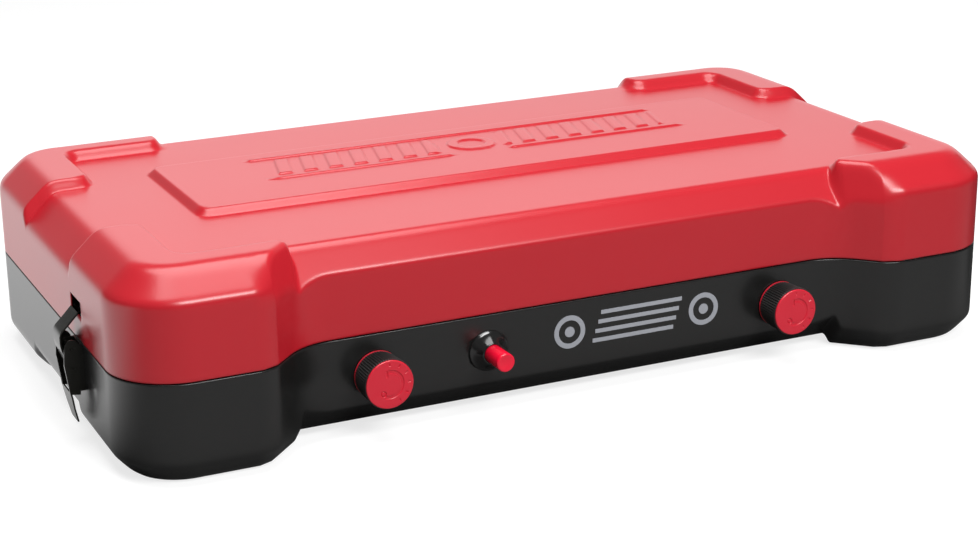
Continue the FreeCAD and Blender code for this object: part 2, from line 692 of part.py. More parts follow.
def burner_bowl(x):
    profile = [(8.5, 43.4), (11.0, 43.4), (11.0, 46.0), (20.0, 48.5), (32.0, 50.5), (36.0, 53.0),
               (36.0, 58.0), (34.0, 58.0), (34.0, 54.0), (30.5, 52.2), (19.5, 50.2), (8.5, 47.5)]
    out = turned_z(profile, x, DECK_Y)
    slot = box(33.0, 37.0, -0.9, 0.9, 56.2, 58.5)
    cuts = []
    for i in range(32):
        copy = slot.copy()
        copy.rotate(V(0, 0, 0), V(0, 0, 1), i * 360 / 32)
        copy.translate(V(x, DECK_Y, 0))
        cuts.append(copy)
    return out.cut(Part.makeCompound(cuts))


def burner_cap(x):
    profile = [(0, 58.0), (37.5, 58.0), (37.5, 59.4), (33.0, 61.2), (20.0, 62.2), (0, 62.4)]
    return turned_z(profile, x, DECK_Y)


def venturi(x):
    y0 = WALL_Y + 38
    end = DECK_Y + 12.0
    tube = rod((x, y0 + 10, KNOB_Z), (x, end, KNOB_Z), 8.0)
    mouth = turned_y([(0, y0), (8.3, y0), (8.3, y0 + 6), (7.0, y0 + 12), (0, y0 + 12)], x, KNOB_Z)
    neck = rod((x, DECK_Y, KNOB_Z), (x, DECK_Y, 46.5), 8.5)
    out = fuse([tube, mouth, neck])
    throat = [(0, y0 - 1), (7.3, y0 - 1), (7.3, y0 + 5), (5.9, y0 + 11), (0, y0 + 11)]
    cut = fuse([rod((x, y0 + 2, KNOB_Z), (x, DECK_Y + 10.5, KNOB_Z), 6.0),
                turned_y(throat, x, KNOB_Z),
                rod((x, DECK_Y, KNOB_Z), (x, DECK_Y, 47), 7.0)])
    out = out.cut(cut)
    return out.cut(box(x - 20, x + 20, y0 + 12, y0 + 18, KNOB_Z - 20, KNOB_Z - 4)).removeSplitter()


def burner_cradles(x):
    """Bent sheet rest under each tube, standing on the base floor."""
    y0, y1 = 0.0, 14.0
    top = KNOB_Z - 8.0
    z = FLOOR_Z + SHEET
    legs = [box(x - 22, x - 20.8, y0, y1, z, top), box(x + 20.8, x + 22, y0, y1, z, top)]
    feet = [box(x - 32, x - 20.8, y0, y1, z, z + 1.2), box(x + 20.8, x + 32, y0, y1, z, z + 1.2)]
    return fuse(legs + feet + [box(x - 22, x + 22, y0, y1, top - 1.2, top)])


def grate_ring():
    hx, hy = GRATE_HALF
    z, r, bend = TRAY_FLANGE_Z + 4, 3.0, 20.0
    parts = []
    for s in (-1, 1):
        parts.append(rod((-hx + bend, DECK_Y + s * hy, z), (hx - bend, DECK_Y + s * hy, z), r))
        parts.append(rod((s * hx, DECK_Y - hy + bend, z), (s * hx, DECK_Y + hy - bend, z), r))
    for sx, sy, a in ((1, 1, 0), (-1, 1, 90), (-1, -1, 180), (1, -1, 270)):
        disc = Part.Face(Part.Wire(Part.makeCircle(r, V(bend, 0, 0), V(0, 1, 0))))
        corner = disc.revolve(V(0, 0, 0), V(0, 0, 1), 90)
        corner.rotate(V(0, 0, 0), V(0, 0, 1), a)
        corner.translate(V(sx * (hx - bend), DECK_Y + sy * (hy - bend), z))
        parts.append(corner)
    return fuse(parts)


def grate_rods():
    hx, hy = GRATE_HALF
    z, r = TRAY_FLANGE_Z + 9, 2.0
    rods = []
    for i in range(-9, 10):
        x = i * GRATE_PITCH
        rods.append(rod((x, DECK_Y - hy - 2, z), (x, DECK_Y + hy + 2, z), r))
    for y in (DECK_Y - 58, DECK_Y + 58):
        rods.append(rod((-hx + 3, y, z - 2 * r), (hx - 3, y, z - 2 * r), r))
    return rods


# Ignition

def electrode_ceramic(x):
    out = rod((x, DECK_Y, 36), (x, DECK_Y, 54), 2.5)
    return out.cut(rod((x, DECK_Y, 30), (x, DECK_Y, 60), 0.8))


def electrode_pin(x, toward):
    return tube_path([(x, DECK_Y, 31), (x, DECK_Y, 57), (x + toward * 5, DECK_Y, 57)], 2.0, 0.8)


def leads():
    z, low, y = IGNITER_Z, 20.0, WALL_Y + 32
    out = []
    for x0, y1, x1 in ((IGNITER_X - 3, y + 12, ELECTRODES_X[0]), (IGNITER_X + 3, y + 18, ELECTRODES_X[1])):
        out.append(tube_path([(x0, y, z), (x0, y1, z), (x0, y1, low), (x1, y1, low), (x1, DECK_Y, low),
                              (x1, DECK_Y, 31)], 4.0, 1.1))
    return out


# Folding windscreens, built on the left

def screen_brackets():
    x, z = -SCREEN_ROD[0], SCREEN_ROD[1]
    out = []
    for y0 in (SCREEN_Y[0] - 2.5, SCREEN_Y[1] + 0.5):
        y1 = y0 + 2.0
        foot_y = (y0 - 8, y1) if y0 < 0 else (y0, y1 + 8)
        base = box(x - 4, x + 3.5, foot_y[0], foot_y[1], TRAY_FLANGE_Z + 1, TRAY_FLANGE_Z + 2.5)
        up = box(x - 3, x + 3, y0, y1, TRAY_FLANGE_Z + 1, z)
        eye = rod((x, y0, z), (x, y1, z), 3.0)
        out.append(fuse([base, up, eye]).cut(rod((x, -200, z), (x, 200, z), 1.2)))
    return out


def screen_rod():
    x, z = -SCREEN_ROD[0], SCREEN_ROD[1]
    return rod((x, SCREEN_Y[0] - 3.2, z), (x, SCREEN_Y[1] + 3.2, z), 1.2)


def windscreen():
    x, z = -SCREEN_ROD[0], SCREEN_ROD[1]
    y0, y1 = SCREEN_Y
    top = z + 2.2
    sheet = box(x, x + SCREEN_H, y0, y1, top - 0.8, top)
    lip = box(x + SCREEN_H - 0.8, x + SCREEN_H, y0, y1, top - 4.0, top)
    out = fuse([sheet, lip, rod((x, y0, z), (x, y1, z), 2.2)])
    out = out.cut(rod((x, y0 - 1, z), (x, y1 + 1, z), 1.2 + RUN_FIT))
    slots = [box(x + 30, x + 90, y0 + 36 + i * 40, y0 + 41 + i * 40, top - 2, top + 2) for i in range(5)]
    return out.cut(Part.makeCompound(slots)).removeSplitter()


def main():
    os.makedirs("parts", exist_ok=True)
    save("lid_shell", [lid_shell()])
    save("base_shell", [base_shell()])
    third = LEAF_W / 6
    base_leaf = hinge_leaf(-1, [(-LEAF_W / 2, -third - 0.2), (third + 0.2, LEAF_W / 2)], HINGE_PIN_R, 50.0)
    lid_leaf = hinge_leaf(1, [(-third + 0.2, third - 0.2)], HINGE_PIN_R + RUN_FIT, 72.0)
    save("hinge_base_leaves", at_hinges(base_leaf))
    save("hinge_lid_leaves", at_hinges(lid_leaf))
    save("hinge_pins", at_hinges(hinge_pin()))
    save("hinge_base_rivets", hinge_rivets(50.0))
    save("hinge_lid_rivets", hinge_rivets(72.0))

    save("latch_brackets", both(latch_bracket()))
    save("latch_rivets", both(latch_rivet(50.5)) + both(latch_rivet(38.5)))
    save("latch_pivot_pins", both(cross_pin(LEVER_PIVOT, LEVER_HALF + 0.4, LATCH_PIN_R)))
    pieces = {"lever": latch_lever(), "strap": latch_strap(),
              "strap_pin": cross_pin(STRAP_PIVOT, LEVER_HALF + 0.4, LATCH_PIN_R)}
    for name, shape in pieces.items():
        save("latch_%s_left" % name, [shape])
        save("latch_%s_right" % name, [mirrored(shape)])

    for side, x in zip(("left", "right"), KNOBS_X):
        save("knob_core_" + side, [knob_core(x)])
        save("knob_grip_" + side, [knob_grip(x)])
        save("valve_stem_" + side, [valve_stem(x)])
    ends = KNOBS_X
    save("valve_bodies", [valve_body(x) for x in ends])
    save("valve_nuts", [valve_nut(x) for x in ends])
    save("gas_jets", [jet(x) for x in ends])
    save("igniter_bezel", [igniter_bezel()])
    save("igniter_body", [igniter_body()])
    save("igniter_button", [igniter_button()])
    save("igniter_nut", [igniter_nut()])
    save("front_mark", front_mark())
    save("inlet_fitting", [inlet_fitting()])
    save("inlet_nut", [inlet_nut()])
    save("manifold_pipes", manifold_pipes())

    save("drip_tray", [tray()])
    save("tray_posts", tray_posts())
    save("tray_screws", [deck_screw(x, y, TRAY_FLOOR_Z + 1, 1, 12) for x, y in post_places()])
    save("floor_screws", [deck_screw(x, y, FLOOR_Z, -1, 12) for x, y in post_places()])
    burners = BURNERS_X
    save("burner_bowls", [burner_bowl(x) for x in burners])
    save("burner_caps", [burner_cap(x) for x in burners])
    save("venturi_tubes", [venturi(x) for x in burners])
    save("burner_cradles", [burner_cradles(x) for x in burners])
    save("grate_ring", [grate_ring()])
    save("grate_rods", grate_rods())
    tips = ((ELECTRODES_X[0], -1), (ELECTRODES_X[1], 1))
    save("electrode_ceramics", [electrode_ceramic(x) for x, _ in tips])
    save("electrode_pins", [electrode_pin(x, way) for x, way in tips])
    save("ignition_leads", leads())
    save("screen_brackets", screen_brackets() + [mirrored(s) for s in screen_brackets()])
    save("screen_rods", both(screen_rod()))
    save("windscreen_left", [windscreen()])
    save("windscreen_right", [mirrored(windscreen())])


main()
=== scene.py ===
"""Camp stove in its closed case: its look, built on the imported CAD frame."""
import json
import math
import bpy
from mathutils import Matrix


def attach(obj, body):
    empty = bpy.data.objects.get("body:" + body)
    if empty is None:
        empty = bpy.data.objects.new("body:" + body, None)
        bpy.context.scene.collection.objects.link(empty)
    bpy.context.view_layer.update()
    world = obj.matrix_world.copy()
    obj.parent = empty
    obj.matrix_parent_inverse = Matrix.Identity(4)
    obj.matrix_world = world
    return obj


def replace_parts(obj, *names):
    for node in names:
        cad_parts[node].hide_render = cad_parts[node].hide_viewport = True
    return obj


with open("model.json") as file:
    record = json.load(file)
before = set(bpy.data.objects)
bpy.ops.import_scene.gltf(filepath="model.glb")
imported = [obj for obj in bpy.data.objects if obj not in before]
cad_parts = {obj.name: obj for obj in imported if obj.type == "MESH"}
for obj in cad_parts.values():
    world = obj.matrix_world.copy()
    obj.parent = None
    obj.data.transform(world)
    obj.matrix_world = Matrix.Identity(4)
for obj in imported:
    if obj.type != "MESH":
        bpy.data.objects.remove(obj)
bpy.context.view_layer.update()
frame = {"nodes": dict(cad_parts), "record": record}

from types import SimpleNamespace as Form

import bpy
import numpy as np
from mathutils import Matrix, Vector

# Case, in millimetres: X and Y from the middle of the case, Z from a datum just above the ground
SHIFT = 2.75                    # the frame's origin is this far behind the middle of the case
LIFT = 3.0                      # the datum is this far above the ground
HALF_W, HALF_D, CORNER = 298.5, 165.0, 42.0
RECESS_Y = -136.3               # front wall between the front pads
SWEEP_X, SWEEP_IN, SWEEP_OUT = 165.5, 42.0, 16.0    # its end, and the radii of its sweep to the pads
RAMP = 46.6                     # |X| + Y on the foot of the slanted face where a pad meets the recess
RAMP_FRONT = -90.0              # that face is only in front of this Y
OUT_OF_REACH = 400.0            # a height above everything
CORE_X, CORE_FRONT, CORE_REAR = 256.5, -117.0, 123.0    # plan grid inside the rounded walls
WALL = 1.0                      # sheet thickness
LIP = 4.0                       # width of the turned-in rim
ARC_STEPS = 26                  # wall columns round each corner

KNOBS_X, KNOB_Z = (-137.6, 144.4), 35.0
IGNITER_X, IGNITER_Z = -63.6, 37.2
INLET_Y = 10.0
SLOT_Y, SLOT_Z = -64.5, 81.45   # middle of the latch slots
SLOT_HALF_Y, SLOT_HALF_Z = 11.5, 5.05
KNOB_HOLE, IGNITER_HOLE, INLET_HOLE = 5.9, 8.1, 7.1     # half widths of the openings in the base's walls

# Arms of the L-shaped corner pads: the inner corner of each
PAD_ARM_R, PAD_ELBOW_R = 7.0, 13.0
REAR_ARMS = ((188, 130), (256, 62))
FRONT_ARMS = ((190, 126), (256, 56))

# Closed side of each case half. A break is the height where a wall turns into its chamfer, a slope is
# that chamfer's rise, soft is how far two faces blend, and step is the width of the step up to a pad.
LID = Form(rim=60.75, levels=[62.2, 64.5, 67.5, 70, 73, 76.4, 79, 81.5, 84, 86.5],
           field_break=98.6, field_slope=1.0, recess_break=101.4, recess_slope=1.25, field_top=117.4,
           pad_break=107.2, pad_slope=0.93, pad_top=124.0, ramp_foot=100.0, ramp_slope=3.5,
           soft=4.0, ramp_soft=6.0, step=6.4, rings=50, rounding=11)
BASE = Form(rim=-60.05, levels=[-58.8, -55.5, -51, -48, -45.3, -42, -38.3, -35, -32, -29, -26.5, -24.5],
            field_break=-15.6, field_slope=1.15, recess_break=-15.6, recess_slope=1.15, field_top=-2.6,
            pad_break=-10.0, pad_slope=1.15, pad_top=LIFT, ramp_foot=-11.0, ramp_slope=1.5,
            soft=3.0, ramp_soft=5.0, step=5.5, rings=36, rounding=8)
FRONT_RUN_IN = 12.0             # columns of the front wall run in by this much before they turn to the core
WALL_SAMPLES, TOP_SAMPLES = 60, 320     # places a profile is first measured at, up the wall and over the top
PROFILE_STEP = 0.5              # spacing of the points along a wall's profile
SIDE_TURN = 0.75                # a wall counts as a side wall above this sine of its angle in plan
SIDE_ROUNDING = 7               # the side walls' corners are rounded over this many more points
RIM_EDGE = 0.35                 # small chamfer outside the rim
DENTS = ((-89, 70, 40.0, 1.0), (-90, -38, 50.0, 0.8))   # Y, Z, spread and depth of the dimples by the latches

# Raised panel on the lid, with its plain relief of rules, slanted ribs and a ring
PANEL_X, PANEL_FRONT, PANEL_REAR = 208, -38, 70
PANEL_RISE, PANEL_STEP, PANEL_R = 4.2, 6.6, 5.0
RULES = ((-148, -22, 5, 8), (22, 152, 5, 8), (-148, 152, 53.6, 56.6))
RIB_FIRST, RIB_PITCH, RIB_WIDTH, RIB_COUNT = -136.0, 17.6, 8.0, 17
RIB_FRONT, RIB_REAR = 15.0, 47.0
RIB_LEFT, RIB_RIGHT = -139, 146
RIB_LEAD = 6.0                  # a rib's cell starts this far before its left edge
RIB_GAP_X, RIB_GAP = 3, 22      # middle and half width of the gap in the ribs, round the ring
LEAN, LEAN_REACH = 0.25, 18     # sideways lean of the ribs, and how far it grows from their middle
LEAN_X, LEAN_FRONT, LEAN_REAR, LEAN_RING = 184, -30, 66, 17     # where it has faded out
RING_X, RING_Y, RING_R, RING_HALF = 2.0, 27.0, 13.0, 3.0
RELIEF, RELIEF_EDGE = 0.9, 1.1


# Outlines and blends

def corner_distance(a, b, r):
    """Distance inside two crossing edges whose corner is rounded."""
    near = (a < r) | (b < r)
    round_part = r - np.hypot(np.maximum(r - a, 0), np.maximum(r - b, 0))
    return np.where(near, round_part, np.minimum(a, b))


def soft_min(a, b, k):
    h = np.maximum(k - np.abs(a - b), 0) / k
    return np.minimum(a, b) - h * h * k * 0.25


def soft_max(a, b, k):
    return -soft_min(-a, -b, k)


def ramp(t, e=0.32):
    """0 to 1 with a straight middle and rounded ends."""
    t = np.clip(t, 0, 1)
    area = 1 - e
    low = t * t / (2 * e)
    high = area - (1 - t) ** 2 / (2 * e)
    return np.where(t < e, low, np.where(t > 1 - e, high, t - e / 2)) / area


def front_edge():
    """Front wall line from left to right: points and inward normals."""
    turn = math.radians(45)
    radii = SWEEP_IN + SWEEP_OUT
    run = (HALF_D + RECESS_Y - radii * (1 - math.cos(turn))) / math.sin(turn)
    pad_x = SWEEP_X + (radii + run) * math.sin(turn)
    line = [((x, RECESS_Y), (0, 1)) for x in np.linspace(0, SWEEP_X, 40)]
    for a in np.radians(np.linspace(90, 45, 40)):
        out = np.array((math.cos(a), math.sin(a)))
        line.append((np.array((SWEEP_X, RECESS_Y - SWEEP_IN)) + SWEEP_IN * out, out))
    for a in np.radians(np.linspace(225, 270, 40)):
        out = np.array((math.cos(a), math.sin(a)))
        line.append((np.array((pad_x, -HALF_D + SWEEP_OUT)) + SWEEP_OUT * out, -out))
    line += [((x, -HALF_D), (0, 1)) for x in np.linspace(pad_x + 0.5, CORE_X, 30)]
    mirror = np.array((-1.0, 1.0))
    halves = (np.array([item[i] for item in line], float) for i in (0, 1))
    return [np.vstack([(half * mirror)[::-1][:-1], half]) for half in halves]


def perimeter(xs, ys):
    """Closed loop round the case: wall points, and the core grid node that each one runs in to."""
    points, normals = front_edge()
    inner_x = points[:, 0] + FRONT_RUN_IN * normals[:, 0]
    order = np.argsort(inner_x, kind="stable")
    front_x, front_y = (np.interp(xs, inner_x[order], points[order, i]) for i in (0, 1))
    last_x, last_y = len(xs) - 1, len(ys) - 1
    arc_y = HALF_D - CORNER
    loop = []

    def arc(cx, cy, start, node):
        for a in np.radians(np.linspace(start, start + 90, ARC_STEPS + 1)[1:-1]):
            loop.append(((cx + CORNER * math.cos(a), cy + CORNER * math.sin(a)), node))

    loop += [((front_x[i], front_y[i]), (i, 0)) for i in range(last_x + 1)]
    arc(CORE_X, -arc_y, 270, (last_x, 0))
    loop.append(((HALF_W, -arc_y), (last_x, 0)))
    loop += [((HALF_W, ys[j]), (last_x, j)) for j in range(last_y + 1)]
    arc(CORE_X, arc_y, 0, (last_x, last_y))
    loop += [((xs[i], HALF_D), (i, last_y)) for i in range(last_x, -1, -1)]
    arc(-CORE_X, arc_y, 90, (0, last_y))
    loop += [((-HALF_W, ys[j]), (0, j)) for j in range(last_y, -1, -1)]
    loop.append(((-HALF_W, -arc_y), (0, 0)))
    arc(-CORE_X, -arc_y, 180, (0, 0))
    wall, core = zip(*loop)
    return np.array(wall, float), core


# Heights of the pressed case halves

def inside_arms(x, y, arms):
    """Distance inside an L, made of two corners that open outwards."""
    first, second = (corner_distance(x - arm_x, y - arm_y, PAD_ARM_R) for arm_x, arm_y in arms)
    return -corner_distance(-first, -second, PAD_ELBOW_R)


def pad_mask(x, y, step):
    """1 on the corner pads, 0 on the cross field."""
    inside = np.maximum(inside_arms(np.abs(x), y, REAR_ARMS), inside_arms(np.abs(x), -y, FRONT_ARMS))
    return ramp((inside + step) / step)


def pressed_height(x, y, form):
    """Closed side of a case half: a sunk cross field, and corner pads that rise from it."""
    edge = corner_distance(HALF_W - np.abs(x), HALF_D - np.abs(y), CORNER)
    field = soft_min(form.field_break + form.field_slope * edge,
                     form.recess_break + form.recess_slope * (y - RECESS_Y), form.soft)
    field = soft_min(field, form.field_top, form.soft)
    pad = soft_min(form.pad_break + form.pad_slope * edge, form.pad_top, form.soft)
    slanted = form.ramp_foot + form.ramp_slope * (np.abs(x) + y - RAMP) / math.sqrt(2)
    slanted = np.where(y < RAMP_FRONT, slanted, OUT_OF_REACH)
    pad = soft_max(field, soft_min(pad, slanted, form.ramp_soft), form.soft)
    return field + (pad - field) * pad_mask(x, y, form.step)


def lid_height(x, y):
    panel = corner_distance(PANEL_X - np.abs(x), np.minimum(y - PANEL_FRONT, PANEL_REAR - y), PANEL_R)
    rise = PANEL_RISE * ramp((panel + PANEL_STEP) / PANEL_STEP, 0.28)
    return pressed_height(x, y, LID) + rise + relief(x, y)


def base_height(x, y):
    """Underside of the base, turned over so that up is down."""
    return pressed_height(x, y, BASE)


def slant(x, y):
    """Sideways lean of the ribs, faded out toward the ring and the panel's edge."""
    gaps = ((LEAN_X - np.abs(x), 28.0), (y - LEAN_FRONT, 28.0), (LEAN_REAR - y, 5.0),
            (np.abs(x) - LEAN_RING, 8.0))
    fade = math.prod(ramp(gap / width, 0.4) for gap, width in gaps)
    return LEAN * np.clip(y - (RIB_FRONT + RIB_REAR) / 2, -LEAN_REACH, LEAN_REACH) * fade


def box_inside(x, y, x0, x1, y0, y1):
    """Distance inside a plan rectangle."""
    return np.minimum(np.minimum(x - x0, x1 - x), np.minimum(y - y0, y1 - y))


def raised(inside):
    """1 inside a mark, falling to 0 over the relief's edge."""
    return ramp((inside + RELIEF_EDGE) / RELIEF_EDGE)


def relief(x, y):
    """Rules with slanted ribs between them, either side of a plain ring."""
    marks = np.zeros_like(x)
    for x0, x1, y0, y1 in RULES:
        marks = np.maximum(marks, raised(box_inside(x, y, x0, x1, y0, y1)))
    u = x - slant(x, y)
    cell = (u - RIB_FIRST + RIB_LEAD) % RIB_PITCH - RIB_LEAD
    rib = box_inside(cell, y, 0.0, RIB_WIDTH, RIB_FRONT, RIB_REAR)
    ribbed = (u > RIB_LEFT) & (u < RIB_RIGHT) & (np.abs(u - RIB_GAP_X) > RIB_GAP)
    ring = RING_HALF - np.abs(np.hypot(x - RING_X, y - RING_Y) - RING_R)
    return RELIEF * np.maximum(marks, np.maximum(np.where(ribbed, raised(rib), 0.0), raised(ring)))


def dents(y, z):
    """Shallow dimples in the side walls in front of the latches."""
    return sum(depth * np.exp(-((y - y0) ** 2 + (z - z0) ** 2) / spread) for y0, z0, spread, depth in DENTS)


# Sheet-metal shells

def smooth_profile(inset, z, half):
    """Rounds the corners of rows of evenly spaced (inset, height) points."""
    count = inset.shape[1]
    lead = z[:, :1] + (z[:, 1:2] - z[:, :1]) * np.arange(-half, 0)
    tail = inset[:, -1:] + (inset[:, -1:] - inset[:, -2:-1]) * np.arange(1, half + 1)
    long_inset = np.concatenate([np.repeat(inset[:, :1], half, 1), inset, tail], 1)
    long_z = np.concatenate([lead, z, np.repeat(z[:, -1:], half, 1)], 1)
    kernel = np.hanning(2 * half + 3)[1:-1]
    kernel /= kernel.sum()
    out_inset, out_z = np.zeros_like(inset), np.zeros_like(z)
    for k, weight in enumerate(kernel):
        out_inset += weight * long_inset[:, k:k + count]
        out_z += weight * long_z[:, k:k + count]
    return out_inset, out_z


def wall_profiles(wall, node, height, start_z, half):
    """Inset and height up each wall and in to the core, evenly spaced, with rounded corners.

    Walls that run from front to back have softer corners than the others.
    """
    frac = np.linspace(0, 1, TOP_SAMPLES)
    plan = wall[:, None, :] + (node - wall)[:, None, :] * frac[None, :, None]
    top = height(plan[..., 0], plan[..., 1])
    below = start_z + (top[:, :1] - start_z) * np.linspace(0, 1, WALL_SAMPLES)[None, :-1]
    reach = np.linalg.norm(node - wall, axis=1)
    inset = np.concatenate([np.zeros_like(below), reach[:, None] * frac[None, :]], 1)
    z = np.concatenate([below, top], 1)
    lengths = np.cumsum(np.hypot(np.diff(inset), np.diff(z)), 1)
    along = np.concatenate([np.zeros((len(wall), 1)), lengths], 1)
    count = int(along[:, -1].max() / PROFILE_STEP)
    places = [np.linspace(0, row[-1], count) for row in along]
    even = [np.array([np.interp(*row) for row in zip(places, along, values)]) for values in (inset, z)]
    sharp = smooth_profile(*even, half)
    soft = smooth_profile(*even, half + SIDE_ROUNDING)
    turn = np.roll(wall, -1, 0) - np.roll(wall, 1, 0)
    sine = np.abs(turn[:, 1]) / np.linalg.norm(turn, axis=1)
    side = ramp((sine - SIDE_TURN) / (1 - SIDE_TURN))[:, None]
    side = np.where(np.abs(wall[:, :1]) > CORE_X - 0.5, side, 0)
    return [p * (1 - side) + q * side for p, q in zip(sharp, soft)]


def wall_rings(wall, node, profiles, form):
    """Rows of points round the case, up the wall and in over the chamfer."""
    rows = [np.column_stack([wall, np.full(len(wall), level)]) for level in [form.rim] + form.levels[:-1]]
    inward = (node - wall) / np.linalg.norm(node - wall, axis=1)[:, None]
    last = profiles[0].shape[1] - 1
    for place in np.linspace(0, last, form.rings + 1)[:-1]:
        k = int(place)
        part = place - k
        inset, z = (p[:, k] * (1 - part) + p[:, min(k + 1, last)] * part for p in profiles)
        rows.append(np.column_stack([wall + inward * np.maximum(inset, 0)[:, None], z]))
    return rows


def sheet_faces(row_count, count, core, nx, ny):
    """Faces up the rings, in to the core grid and across it."""
    grid = row_count * count
    faces = []
    for r in range(row_count):
        for c in range(count):
            d = (c + 1) % count
            a, b = r * count + c, r * count + d
            a1, b1 = a + count, b + count
            if r == row_count - 1:
                a1, b1 = (grid + i * ny + j for i, j in (core[c], core[d]))
            faces.append((a, b, b1, a1) if a1 != b1 else (a, b, a1))
    for i in range(nx - 1):
        for j in range(ny - 1):
            q = grid + i * ny + j
            faces.append((q, q + ny, q + ny + 1, q + 1))
    return faces


def pressed_sheet(height, form, lean, xs, ys):
    """Outside surface of a pressed tray, closed side up: vertices, faces and the points in a ring."""
    wall, core = perimeter(xs, ys)
    node = np.array([(xs[i], ys[j]) for i, j in core])
    profiles = wall_profiles(wall, node, height, form.levels[-1], form.rounding)
    rows = wall_rings(wall, node, profiles, form)
    rings = np.vstack(rows)
    dent = dents(rings[:, 1], rings[:, 2]) * (np.abs(rings[:, 0]) > HALF_W - 1.5)
    rings[:, 0] -= np.sign(rings[:, 0]) * dent
    grid_x, grid_y = np.meshgrid(xs, ys, indexing="ij")
    grid_x = grid_x + lean(grid_x, grid_y)
    grid = np.column_stack([grid_x.ravel(), grid_y.ravel(), height(grid_x, grid_y).ravel()])
    faces = sheet_faces(len(rows), len(wall), core, len(xs), len(ys))
    return np.vstack([rings, grid]), faces, len(wall)


def vertex_normals(v, faces):
    """Area-weighted normals; a triangle counts as a quad with its last corner doubled."""
    quads = np.array([f if len(f) == 4 else (*f, f[2]) for f in faces])
    d1 = v[quads[:, 2]] - v[quads[:, 0]]
    d2 = v[quads[:, 3]] - v[quads[:, 1]]
    face_normals = np.cross(d1, d2)
    normals = np.zeros_like(v)
    for corner in range(4):
        np.add.at(normals, quads[:, corner], face_normals)
    return normals / np.maximum(np.linalg.norm(normals, axis=1), 1e-12)[:, None]


def at_height(points, z):
    return np.column_stack([points[:, :2], np.full(len(points), z)])


def skin_faces(v, faces, size, is_window):
    """Outer and inner faces round the windows, and the strips that join them at a window's edge."""
    out, open_edges = [], {}
    for f in faces:
        if not is_window(v[list(f)]):
            out.append(f)
            out.append(tuple(size + i for i in reversed(f)))
            continue
        for a, b in zip(f, f[1:] + f[:1]):
            if (b, a) in open_edges:
                del open_edges[(b, a)]
            else:
                open_edges[(a, b)] = True
    return out + [(a, b, size + b, size + a) for a, b in open_edges]


def thick_shell(sheet, rim, is_window):
    """Closed sheet-metal solid: outside, inside, turned-in rim and cut windows."""
    v, faces, count = sheet
    normals = vertex_normals(v, faces)
    level = normals[:count] * (1, 1, 0)
    level /= np.linalg.norm(level, axis=1)[:, None]
    outside = v.copy()
    outside[:count, 2] = rim + RIM_EDGE
    inside = v - normals * WALL
    lip_top = rim + WALL
    inside[:count] = at_height(v[:count] - level * WALL, lip_top)
    second_row = inside[count:2 * count, 2]
    second_row[second_row <= lip_top + 0.05] = lip_top + 0.4
    edge = at_height(v[:count] - level * RIM_EDGE, rim)
    lip_low = at_height(v[:count] - level * LIP, rim)
    lip_high = at_height(lip_low, lip_top)
    size = len(v)
    out = skin_faces(v, faces, size, is_window)
    starts = (0, 2 * size, 2 * size + count, 2 * size + 2 * count, size)
    for c in range(count):
        d = (c + 1) % count
        out += [(a + d, a + c, b + c, b + d) for a, b in zip(starts, starts[1:])]
    return np.vstack([outside, inside, edge, lip_low, lip_high]), out


# Plan lines of the two shells: dense where the sheet is stepped, open where it is flat

def merged(groups):
    """All lines in order, without repeats."""
    return np.unique(np.round(np.concatenate([np.atleast_1d(g) for g in groups]), 4))


def spans(*rows):
    """Evenly spaced lines; each row is a start, an end and a count."""
    return np.concatenate([np.linspace(*row) for row in rows])


def both_sides(values):
    return np.concatenate([-values, values])


def rib_lines():
    """Both edges of each rib with their soft borders, and the gap between ribs."""
    lines = [RIB_FIRST + RIB_PITCH * k + d for k in range(RIB_COUNT)
             for d in (-2.4, -1.1, -0.55, 0, 2.6, 5.4, 8, 8.55, 9.1, 11)]
    return [x for x in lines if -150 < x < 154]


def lid_lines():
    xs = merged([
        rib_lines(), [-153.5, -151.5, -149.1, -148.5, -148, -146.5, 150.5, 152, 152.55, 153.1, 154.6],
        both_sides(spans((157, 186, 12), (186.7, 192.5, 10), (194.5, 207, 8), (207.8, 215.6, 12),
                         (218, 236, 6), (238, 250, 9), (250.7, CORE_X, 9))),
        spans((-15.5, 19.5, 29)),
    ])
    slot_front, slot_rear = SLOT_Y - SLOT_HALF_Y, SLOT_Y + SLOT_HALF_Y
    ys = merged([
        spans((CORE_FRONT, -100, 12), (-97, -62, 9), (-60.5, -49.5, 14), (-47.5, -37, 15), (-33, 2, 9),
              (17.5, 43.5, 21), (58.5, 69, 14), (69.8, 77.4, 12), (80, 106, 8), (107.5, CORE_REAR, 15)),
        [slot_front, slot_rear, 3.2, 3.9, 4.45, 5, 6.5, 8, 8.55, 9.1, 10.5, 12.5, 13.9, 14.45, 15, 16.5],
        [45.5, 47, 47.55, 48.1, 50, 52, 52.5, 53.05, 53.6, 55.1, 56.6, 57.15, 57.7],
    ])
    clear = (np.abs(ys - slot_front) > 0.6) & (np.abs(ys - slot_rear) > 0.3)
    return xs, ys[(ys == slot_front) | (ys == slot_rear) | clear]


def base_lines():
    xs = merged([
        [x + d for x in KNOBS_X for d in (-KNOB_HOLE, -3, 0, 3, KNOB_HOLE)],
        [IGNITER_X + d for d in (-IGNITER_HOLE, -4, 0, 4, IGNITER_HOLE)],
        spans((-126, -80, 7), (-48, 132, 16)),
        both_sides(spans((153, 184, 12), (186, 197, 12), (199, 236, 14), (238, 250, 8), (250.7, CORE_X, 8))),
    ])
    ys = merged([
        [INLET_Y + d for d in (-INLET_HOLE, -3.5, 0, 3.5, INLET_HOLE)],
        spans((CORE_FRONT, -100, 9), (-94, -62, 8), (-60.5, -49.5, 12), (-44, -4, 9), (24, 52, 6),
              (55, 65, 11), (70, 104, 8), (107, CORE_REAR, 12)),
    ])
    return xs, ys


def near(values, middle, half):
    """True where all values are within half of the middle, with a little to spare."""
    return (np.abs(values - middle) < half + 0.3).all()


